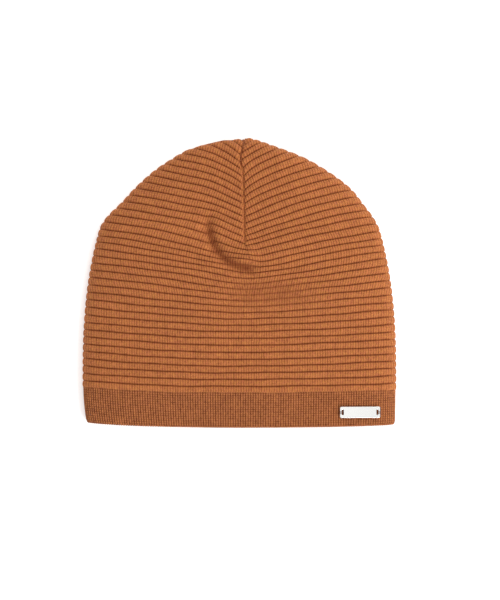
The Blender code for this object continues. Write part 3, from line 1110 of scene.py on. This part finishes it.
# ---------------------------------------------------------------- sewing
class StitchTree:
    """Geometry Nodes tree that lays loops of thread along a path, as a sewing machine does."""

    SIZES = ("Spacing", "Loop length", "Loop width", "Thread radius", "Tilt", "Lean")

    def __init__(self) -> None:
        """Build the tree once for every row of stitches."""
        self.tree = bpy.data.node_groups.new("lay_stitches", 'GeometryNodeTree')
        interface = self.tree.interface
        interface.new_socket("Geometry", in_out='INPUT', socket_type='NodeSocketGeometry')
        for name in self.SIZES:
            interface.new_socket(name, in_out='INPUT', socket_type='NodeSocketFloat')
        interface.new_socket("Finish", in_out='INPUT', socket_type='NodeSocketMaterial')
        interface.new_socket("Geometry", in_out='OUTPUT', socket_type='NodeSocketGeometry')
        source = add_node(self.tree, "NodeGroupInput")
        points = self._points(source)
        loop = self._loop(source)
        placed = add_node(self.tree, "GeometryNodeInstanceOnPoints", None,
                          Points=points, Instance=loop, Rotation=self._turn(source))
        real = add_node(self.tree, "GeometryNodeRealizeInstances", None, Geometry=placed.outputs[0])
        dressed = add_node(self.tree, "GeometryNodeSetMaterial", None,
                           Geometry=real.outputs[0], Material=source.outputs["Finish"])
        add_node(self.tree, "NodeGroupOutput", None, Geometry=dressed.outputs[0])

    def _points(self, source: bpy.types.Node) -> bpy.types.NodeSocket:
        """Evenly spaced places along the path.

        Args:
            source: input node of the tree.

        Returns:
            Socket with the points.
        """
        curve = add_node(self.tree, "GeometryNodeMeshToCurve", None, Mesh=source.outputs["Geometry"])
        spaced = add_node(self.tree, "GeometryNodeResampleCurve", {"mode": 'LENGTH'},
                          Curve=curve.outputs[0], Length=source.outputs["Spacing"])
        return spaced.outputs[0]

    def _loop(self, source: bpy.types.Node) -> bpy.types.NodeSocket:
        """One oval loop of thread, long in X and wide in Y.

        Args:
            source: input node of the tree.

        Returns:
            Socket with the loop's mesh.
        """
        ring = add_node(self.tree, "GeometryNodeCurvePrimitiveCircle", None, Resolution=10, Radius=0.5)
        size = add_node(self.tree, "ShaderNodeCombineXYZ", None, X=source.outputs["Loop length"],
                        Y=source.outputs["Loop width"], Z=1.0)
        oval = add_node(self.tree, "GeometryNodeTransform", None, Geometry=ring.outputs[0],
                        Scale=size.outputs[0])
        strand = add_node(self.tree, "GeometryNodeCurvePrimitiveCircle", None, Resolution=5,
                          Radius=source.outputs["Thread radius"])
        swept = add_node(self.tree, "GeometryNodeCurveToMesh", None, Curve=oval.outputs[0],
                         Profile_Curve=strand.outputs[0])
        rounded = add_node(self.tree, "GeometryNodeSetShadeSmooth", None, Geometry=swept.outputs[0])
        return rounded.outputs[0]

    def _turn(self, source: bpy.types.Node) -> bpy.types.NodeSocket:
        """Rotation along the path, tilted and leaning to either side by turns.

        Args:
            source: input node of the tree.

        Returns:
            Socket with the rotation of each loop.
        """
        tangent = add_node(self.tree, "GeometryNodeInputTangent").outputs[0]
        up = add_node(self.tree, "GeometryNodeInputNamedAttribute",
                      {"data_type": 'FLOAT_VECTOR'}, Name="up").outputs["Attribute"]
        along = add_node(self.tree, "FunctionNodeAlignRotationToVector", {"axis": 'X'}, Vector=tangent)
        upright = add_node(self.tree, "FunctionNodeAlignRotationToVector",
                           {"axis": 'Z', "pivot_axis": 'X'}, Rotation=along.outputs[0], Vector=up)
        index = add_node(self.tree, "GeometryNodeInputIndex").outputs[0]
        turn = calc(self.tree, 'MULTIPLY_ADD', calc(self.tree, 'MODULO', index, 2.0), -2.0, 1.0)
        angles = add_node(self.tree, "ShaderNodeCombineXYZ", None, Y=source.outputs["Tilt"],
                          Z=calc(self.tree, 'MULTIPLY', turn, source.outputs["Lean"]))
        local = add_node(self.tree, "FunctionNodeEulerToRotation", None, Euler=angles.outputs[0])
        turned = add_node(self.tree, "FunctionNodeRotateRotation", {"rotation_space": 'LOCAL'},
                          Rotation=upright.outputs[0], Rotate_By=local.outputs[0])
        return turned.outputs[0]

    def sew(self, name: str, points: Array, up: Array, finish: bpy.types.Material,
            sizes: tuple[float, float, float, float], tilt: float = 0.0,
            lean: float = 0.0) -> bpy.types.Object:
        """Make a row of stitches.

        Args:
            name: name of the piece.
            points: the path, in metres.
            up: direction away from the fabric at each point.
            finish: material of the thread.
            sizes: spacing, loop length, loop width and thread radius, in millimetres.
            tilt: turn of a loop about the stitch's own width, in degrees.
            lean: turn to either side, in degrees.

        Returns:
            The row of stitches as a plain mesh.
        """
        mesh = bpy.data.meshes.new(name)
        mesh.from_pydata(points.tolist(), [(at, at + 1) for at in range(len(points) - 1)], [])
        row = bpy.data.objects.new(name, mesh)
        bpy.context.scene.collection.objects.link(row)
        store_vector(row, "up", up)
        modifier = row.modifiers.new("stitches", 'NODES')
        modifier.node_group = self.tree
        values = [size * MM for size in sizes] + [radians(tilt), radians(lean), finish]
        for label, value in zip((*self.SIZES, "Finish"), values):
            item = next(i for i in self.tree.interface.items_tree if i.name == label and i.in_out == 'INPUT')
            modifier[item.identifier] = value
        bake(row)
        return row


def tube(name: str, points: Array, radii: tuple[float, float], finish: bpy.types.Material,
         sides: int = 10) -> bpy.types.Object:
    """Closed round or oval tube along a path.

    Args:
        name: name of the piece.
        points: the path, in metres.
        radii: half widths across and away from the table, in millimetres.
        finish: material of the tube.
        sides: faces round the tube.

    Returns:
        The tube.
    """
    tangent = np.gradient(points, axis=0)
    tangent /= np.linalg.norm(tangent, axis=1, keepdims=True)
    side = np.cross(tangent, [0.0, 0.0, 1.0])
    side[np.linalg.norm(side, axis=1) < 1e-6] = (1.0, 0.0, 0.0)
    side /= np.linalg.norm(side, axis=1, keepdims=True)
    over = np.cross(side, tangent)
    angle = np.arange(sides) * tau / sides
    ring = (side[:, None] * np.cos(angle)[None, :, None] * radii[0]
            + over[:, None] * np.sin(angle)[None, :, None] * radii[1]) * MM
    body = points[:, None] + ring
    count = len(points)
    faces = []
    for row in range(count - 1):
        for at in range(sides):
            after = (at + 1) % sides
            faces.append((row * sides + at, row * sides + after,
                          (row + 1) * sides + after, (row + 1) * sides + at))
    ends = np.stack([points[0] - tangent[0] * radii[0] * MM * 0.5,
                     points[-1] + tangent[-1] * radii[0] * MM * 0.5])
    first, last = count * sides, count * sides + 1
    for at in range(sides):
        after = (at + 1) % sides
        faces.append((first, after, at))
        faces.append((last, (count - 1) * sides + at, (count - 1) * sides + after))
    made = make_object(name, np.concatenate([body.reshape(-1, 3), ends]), faces)
    made.data.materials.append(finish)
    fix = bmesh.new()
    fix.from_mesh(made.data)
    bmesh.ops.recalc_face_normals(fix, faces=fix.faces)
    fix.to_mesh(made.data)
    fix.free()
    return made


@dataclass
class SeamWork:
    """Rolled seam allowances, overlocking, linking chain and the crown's closing stitches."""

    form: HatForm
    stitches: StitchTree
    yarn: bpy.types.Material
    roll_width: float = 2.0
    roll_height: float = 1.1
    clear: float = 0.25
    dart_end: float = 203.0
    overlock: tuple[float, float, float, float] = (1.9, 3.1, 4.9, 0.22)
    chain: tuple[float, float, float, float] = (1.88, 2.7, 1.5, 0.28)
    closing: tuple[float, float, float, float] = (1.55, 1.0, 2.6, 0.36)
    top_from: float = 199.0

    def _inside(self, layer: Layer, x: Array, height: Array, gap: float) -> Array:
        """Points inside the hat at a gap from the inner face of one layer.

        Args:
            layer: front or back.
            x: places across the hat, from the middle.
            height: heights above the hem.
            gap: distance in from the layer's inner face.

        Returns:
            Points in metres.
        """
        form = self.form
        depth = form.ridge + form.wall_below_groove + self.clear + gap
        z = form.layer_z(layer, x, height, form.ridge)
        inward = depth - form.ridge
        return place(x, height, z - inward if layer is Layer.FRONT else z + inward, form)

    def _sew_roll(self, name: str, points: Array, up: tuple[float, float, float]) -> list[bpy.types.Object]:
        """A rolled seam allowance with overlock loops round it.

        Args:
            name: what the seam is called.
            points: the seam's path, in metres.
            up: direction away from the fabric.

        Returns:
            The roll and the loops round it.
        """
        roll = tube(f"{name}_roll", points, (self.roll_width, self.roll_height), self.yarn, 12)
        away = np.tile(np.array(up), (len(points), 1))
        spacing, _, width, radius = self.overlock
        loops = self.stitches.sew(f"{name}_overlock", points, away, self.yarn,
                                  (spacing, 2 * self.roll_height + 0.5, width - 0.5, radius), 90.0, 14.0)
        return [roll, loops]

    def dart(self, layer: Layer) -> list[bpy.types.Object]:
        """The dart's seam inside one layer.

        Args:
            layer: front or back.

        Returns:
            The roll and the loops round it.
        """
        height = np.linspace(self.form.dart_tip + 6.0, self.dart_end, 26)
        x = self.form.seam_x(height)
        points = self._inside(layer, x, height, self.roll_height + 1.0)
        return self._sew_roll(f"{layer.value}_dart", points, (0.0, 0.0, 1.0))

    def side_dart(self, side: Side) -> list[bpy.types.Object]:
        """The dart's seam along one side fold of the crown.

        Args:
            side: left or right fold.

        Returns:
            The roll and the loops round it.
        """
        form = self.form
        height = np.linspace(form.dart_tip + 12.0, 196.0, 24)
        reach = form.outline(height, form.ridge + form.wall_below_groove + self.roll_width + self.clear)
        x = form.lean(height) + side.value * reach
        points = place(x, height, np.full_like(x, form.fold_z + 0.4), form)
        return self._sew_roll(f"{side.name.lower()}_dart", points, (side.value, 0.4, 0.0))

    def back_seam(self) -> list[bpy.types.Object]:
        """The seam that closes the tube at the centre back.

        Returns:
            The roll and the loops round it.
        """
        height = np.linspace(self.form.join + 3.5, self.form.dart_tip + 4.0, 40)
        x = self.form.seam_x(height)
        points = self._inside(Layer.BACK, x, height, self.roll_height)
        return self._sew_roll("back", points, (0.0, 0.0, 1.0))

    def linking(self, layer: Layer) -> bpy.types.Object:
        """The chain inside that joins the band to the body.

        Args:
            layer: front or back.

        Returns:
            The chain.
        """
        form = self.form
        reach = form.outline(np.array(form.join)) * 0.93
        x = reach * np.sin(np.linspace(-pi / 2, pi / 2, 120))
        side_of = {True: Side.RIGHT, False: Side.LEFT}
        height = np.array([form.course_height(side_of[bool(at > 0)], np.zeros(1), np.abs(np.array([at])))[0]
                           for at in x]) + 0.6
        points = self._inside(layer, x, height, 0.35)
        up = np.tile([0.0, 0.0, -1.0 if layer is Layer.FRONT else 1.0], (len(points), 1))
        return self.stitches.sew(f"linking_chain_{layer.value}", points, up, self.yarn, self.chain, 14.0, 0.0)

    def crown_closing(self, layer: Layer) -> bpy.types.Object:
        """Stitches that show where the dart's edges draw together below the crown tip.

        Args:
            layer: front or back.

        Returns:
            The row of stitches.
        """
        form = self.form
        height = np.linspace(self.top_from, form.height - 3.0, 14)
        x = form.seam_x(height)
        z = form.layer_z(layer, x, height, form.ridge)
        z = z + dip_of(layer) * (3.0 * form.parting(height) - 0.8)
        points = place(x, height, z, form)
        up = np.tile([0.0, 0.0, 1.0 if layer is Layer.FRONT else -1.0], (len(points), 1))
        return self.stitches.sew(f"crown_closing_stitches_{layer.value}", points, up, self.yarn,
                                 self.closing, 0.0, 24.0)

    def crown_tack(self) -> bpy.types.Object:
        """Whipped bar that holds the four darts together inside the tip.

        Returns:
            The thread.
        """
        low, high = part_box("crown_tack")
        centre, half = (low + high) / 2, (high - low) / 2
        turn = np.linspace(0.0, 3.0, 49)
        points = np.stack([centre.x + half.x * 0.85 * (2 * turn / 3 - 1),
                           centre.y + (half.y - 0.3 * MM) * np.cos(tau * turn),
                           centre.z + (half.z - 0.3 * MM) * np.sin(tau * turn)], axis=1)
        return tube("crown_tack_thread", points, (0.3, 0.3), self.yarn, 8)


# ---------------------------------------------------------------- plate and label
@dataclass
class NamePlate:
    """Blank polished plate with an oval hole at each end, sewn on over its short ends."""

    metal: bpy.types.Material
    thread: bpy.types.Material
    length: float = 30.0
    width: float = 8.25
    thickness: float = 0.8
    corner: float = 1.0
    hole_from_end: float = 2.0
    hole: tuple[float, float] = (1.4, 4.1)
    edge: float = 0.14
    thread_radius: float = 0.2
    turns: int = 3
    pitch: float = 0.8

    def _matrix(self) -> Matrix:
        """Where the plate's middle lies and how it tilts with the band.

        Returns:
            The turn and move that put the plate in its place.
        """
        low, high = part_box("name_plate")
        size = (high - low) / MM
        tilt = atan((size.z - self.thickness) / size.x)
        return Matrix.Translation((low + high) / 2) @ Matrix.Rotation(tilt, 4, 'Y')

    def _loop(self, curve: bpy.types.Curve, centre_x: float, length: float, width: float,
              radius: float, steps: int = 8) -> None:
        """Add a closed outline with round corners to a flat curve.

        Args:
            curve: curve to add to.
            centre_x: middle of the outline along the plate.
            length: size along the plate.
            width: size across it.
            radius: radius of the corners.
            steps: straight pieces in each corner.
        """
        spline = curve.splines.new('POLY')
        corners = []
        for quarter, (sx, sy) in enumerate(((1, 1), (-1, 1), (-1, -1), (1, -1))):
            for step in range(steps + 1):
                angle = pi / 2 * (quarter + step / steps)
                corners.append((centre_x + sx * (length / 2 - radius) + radius * cos(angle),
                                sy * (width / 2 - radius) + radius * sin(angle)))
        spline.points.add(len(corners) - 1)
        for knot, (x, y) in zip(spline.points, corners):
            knot.co = (x * MM, y * MM, 0.0, 1.0)
        spline.use_cyclic_u = True

    def plate(self) -> bpy.types.Object:
        """The plate, with its edges and holes softly rounded.

        Returns:
            The plate.
        """
        curve = bpy.data.curves.new("blank_plate", 'CURVE')
        curve.dimensions, curve.fill_mode = '2D', 'BOTH'
        curve.extrude = (self.thickness / 2 - self.edge) * MM
        curve.bevel_depth, curve.bevel_resolution, curve.offset = self.edge * MM, 2, -self.edge * MM
        self._loop(curve, 0.0, self.length, self.width, self.corner)
        across, tall = self.hole
        for side in (-1, 1):
            self._loop(curve, side * (self.length / 2 - self.hole_from_end), across, tall, across * 0.49)
        flat = bpy.data.objects.new("blank_plate", curve)
        bpy.context.scene.collection.objects.link(flat)
        graph = bpy.context.evaluated_depsgraph_get()
        mesh = bpy.data.meshes.new_from_object(flat.evaluated_get(graph))
        bpy.data.objects.remove(flat)
        work = bmesh.new()
        work.from_mesh(mesh)
        bmesh.ops.remove_doubles(work, verts=work.verts, dist=1e-6)
        bmesh.ops.recalc_face_normals(work, faces=work.faces)
        work.to_mesh(mesh)
        work.free()
        mesh.transform(self._matrix())
        mesh.shade_smooth()
        mesh.set_sharp_from_angle(angle=radians(12))
        mesh.materials.clear()
        mesh.materials.append(self.metal)
        plate = bpy.data.objects.new("blank_plate", mesh)
        bpy.context.scene.collection.objects.link(plate)
        return plate

    def threads(self, side: Side) -> bpy.types.Object:
        """Turns of thread round one short end.

        Args:
            side: left or right end.

        Returns:
            The thread.
        """
        inner = self.length / 2 - self.hole_from_end + self.hole[0] / 2
        middle, clear = (inner + self.length / 2) / 2, 0.08 + self.thread_radius
        half_bar = (self.length / 2 - inner) / 2 + clear
        half_thick = self.thickness / 2 + clear
        turn = np.linspace(0.0, self.turns, self.turns * 16 + 1)
        angle = tau * turn
        power = 0.45
        x = side.value * (middle + half_bar * np.sign(np.cos(angle)) * np.abs(np.cos(angle)) ** power)
        z = half_thick * np.sign(np.sin(angle)) * np.abs(np.sin(angle)) ** power
        y = self.pitch * (turn - self.turns / 2)
        matrix = self._matrix()
        points = np.array([matrix @ Vector((a * MM, b * MM, c * MM)) for a, b, c in zip(x, y, z)])
        name = f"plate_thread_loops_{side.name.lower()}"
        return tube(name, points, (self.thread_radius, self.thread_radius), self.thread, 8)


@dataclass
class CareLabel:
    """Blank satin ribbon folded in two and sewn by its open end inside the back."""

    satin: bpy.types.Material
    thread: bpy.types.Material
    stitches: StitchTree
    ply: float = 0.3
    fold: float = 0.8
    rows: int = 18
    columns: int = 14
    lockstitch: tuple[float, float, float, float] = (2.6, 2.3, 0.32, 0.14)

    def ribbon(self) -> bpy.types.Object:
        """The folded ribbon, a little wavy, with both plies.

        Returns:
            The ribbon.
        """
        low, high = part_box("care_label")
        length = (high.y - low.y) / MM - self.ply / 2
        width = (high.x - low.x) / MM
        middle = (low + high) / 2
        run = np.linspace(0.0, length - self.fold / 2, self.rows)
        bend = np.linspace(-pi / 2, pi / 2, 8)[1:-1]
        y = np.concatenate([run, length - self.fold / 2 * (1 - np.cos(bend)), run[::-1]])
        z = np.concatenate([np.full(self.rows, -self.fold / 2), self.fold / 2 * np.sin(bend),
                            np.full(self.rows, self.fold / 2)])
        across = np.linspace(-width / 2, width / 2, self.columns)
        xs, ys = np.meshgrid(across, y)
        zs = np.repeat(z[:, None], self.columns, axis=1)
        lift = smooth(ys / length)
        zs = zs + lift * (0.55 + 0.35 * np.sin(xs / 6.0 + ys / 9.0))
        points = np.stack([middle.x + xs * MM, low.y + ys * MM, middle.z + zs * MM], axis=-1)
        piece = make_object("satin_care_label", points, [tuple(f) for f in grid_faces(*xs.shape).tolist()])
        piece.data.materials.append(self.satin)
        ply = piece.modifiers.new("ply", 'SOLIDIFY')
        ply.thickness, ply.offset = self.ply * MM, 0.0
        bake(piece)
        return piece

    def cut(self) -> tuple[float, float]:
        """Width and unfolded length of the ribbon."""
        low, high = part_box("care_label")
        return high.x - low.x, 2.0 * (high.y - low.y)

    def sewing(self) -> bpy.types.Object:
        """Lockstitches that hold the ribbon's open end.

        Returns:
            The row of stitches.
        """
        low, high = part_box("care_label_stitching")
        x = np.linspace(low.x, high.x, 12)
        points = np.stack([x, np.full_like(x, (low.y + high.y) / 2),
                           np.full_like(x, (low.z + high.z) / 2)], axis=1)
        up = np.tile([0.0, 0.0, 1.0], (len(points), 1))
        return self.stitches.sew("label_lockstitches", points, up, self.thread, self.lockstitch)


# ---------------------------------------------------------------- studio
@dataclass(frozen=True)
class Studio:
    """Pale floor, soft light and a camera straight above the laid hat."""

    view_height: float = 0.450        # height of the floor that the picture covers
    camera_above: float = 1.6
    centre_x: float = 0.0079
    above_hem: float = 0.095
    floor_glow: float = 0.38
    sky_strength: float = 0.64

    LAMPS = {                         # place in metres, size in metres, power in watts
        "key_softbox": ((0.80, -0.85, 0.95), 0.7, 11.6),
        "crown_softbox": ((0.75, 1.15, 1.25), 0.9, 12.4),
        "overhead_softbox": ((0.2, -0.15, 2.0), 0.9, 1.4),
    }

    def build(self, form: HatForm) -> None:
        """Make the floor, the lights and the camera.

        Args:
            form: form of the hat, for its height.
        """
        scene = bpy.context.scene
        scene.view_settings.view_transform = 'Standard'
        bpy.ops.mesh.primitive_plane_add(size=8.0, location=(0.0, 0.0, -0.0002))
        floor = bpy.context.object
        floor.name = "floor"
        paper = bpy.data.materials.new("white_paper_floor")
        paper.use_nodes = True
        surface = paper.node_tree.nodes["Principled BSDF"].inputs
        surface["Base Color"].default_value = srgb("F7F7F6")
        surface["Roughness"].default_value = 0.9
        surface["Specular IOR Level"].default_value = 0.1
        surface["Emission Color"].default_value = srgb("FFFFFF")
        surface["Emission Strength"].default_value = self.floor_glow
        floor.data.materials.append(paper)

        world = bpy.data.worlds.new("studio")
        world.use_nodes = True
        sky = world.node_tree.nodes["Background"].inputs
        sky["Color"].default_value = (1.0, 1.0, 1.0, 1.0)
        sky["Strength"].default_value = self.sky_strength
        scene.world = world
        for name, (at, size, power) in self.LAMPS.items():
            self._lamp(name, at, size, power)

        data = bpy.data.cameras.new("camera")
        data.sensor_width = 36.0
        data.lens = 18.0 / (self.view_height / 2 / self.camera_above)   # half the sensor over half the view
        camera = bpy.data.objects.new("camera", data)
        scene.collection.objects.link(camera)
        y = self.above_hem - form.height * MM / 2
        camera.location = (self.centre_x, y, self.camera_above)
        scene.camera = camera

    def _lamp(self, name: str, at: tuple[float, float, float], size: float, power: float) -> None:
        """Square area light aimed at the hat.

        Args:
            name: name of the light.
            at: its place, in metres.
            size: its side, in metres.
            power: in watts.
        """
        data = bpy.data.lights.new(name, 'AREA')
        data.size = size
        data.energy = power
        lamp = bpy.data.objects.new(name, data)
        bpy.context.scene.collection.objects.link(lamp)
        lamp.location = at
        lamp.rotation_euler = (-Vector(at)).to_track_quat('-Z', 'Y').to_euler()


def stretch(piece: bpy.types.Object, slot: str, *nodes: str) -> None:
    """Bake a piece's place into its mesh, hide the nodes of the frame that it replaces, and log its faces.

    Args:
        piece: finished piece.
        slot: not used.
        nodes: nodes of the frame that it replaces.
    """
    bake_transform(piece)
    if nodes:
        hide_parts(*nodes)
    LOG.info("%s: %d faces", piece.name, len(piece.data.polygons))


def attach(piece: bpy.types.Object, body: str, slot: str, *nodes: str) -> None:
    """Let a piece ride on one body of the hat.

    Args:
        piece: finished piece.
        body: body it rides on.
        slot: not used.
        nodes: nodes of the frame that it replaces.
    """
    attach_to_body(piece, body)
    if nodes:
        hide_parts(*nodes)
    LOG.info("%s: %d faces", piece.name, len(piece.data.polygons))


def main() -> None:
    """Build the hat's looks around the frame."""
    logging.basicConfig(level=logging.INFO, format="%(message)s")
    form = HatForm.from_frame()
    ribs = RibTree()
    body_finish, band_finish = BODY_KNIT.make(), BAND_KNIT.make()
    body = KnitBody(form, ribs, body_finish)
    band = HemBand(form, ribs, band_finish)
    panel, panel_area = body.cut()
    for layer in Layer:
        knit, rim = body.build(layer), band.build(layer)
        stretch(knit, "knit", f"knit_body_{layer.value}")
        stretch(rim, "band", f"hem_band_{layer.value}")
    sewing = StitchTree()
    seams = SeamWork(form, sewing, SEAM_YARN.make())
    for layer in Layer:
        roll, loops = seams.dart(layer)
        stretch(roll, "yarn", f"{layer.value}_dart_seam")
        stretch(loops, "yarn")
        stretch(seams.linking(layer), "yarn", f"hem_linking_{layer.value}")
        stretch(seams.crown_closing(layer), "yarn")
    for side in Side:
        roll, loops = seams.side_dart(side)
        stretch(roll, "yarn", f"{side.name.lower()}_dart_seam")
        stretch(loops, "yarn")
    roll, loops = seams.back_seam()
    attach(roll, "back_half", "yarn", "back_seam")
    attach(loops, "back_half", "yarn")
    attach(seams.crown_tack(), "back_half", "yarn", "crown_tack")

    plate = NamePlate(POLISHED_STEEL.make(), DARK_THREAD.make())
    attach(plate.plate(), "front_half", "metal", "name_plate")
    for side in Side:
        name = f"plate_thread_{side.name.lower()}"
        attach(plate.threads(side), "front_half", "thread", name)
    label = CareLabel(SATIN_RIBBON.make(), PALE_THREAD.make(), sewing)
    ribbon = label.ribbon()
    attach(ribbon, "care_label", "satin", "care_label")
    label.cut()
    attach(label.sewing(), "back_half", "thread", "care_label_stitching")
    Studio().build(form)


if __name__ == "__main__":
    main()
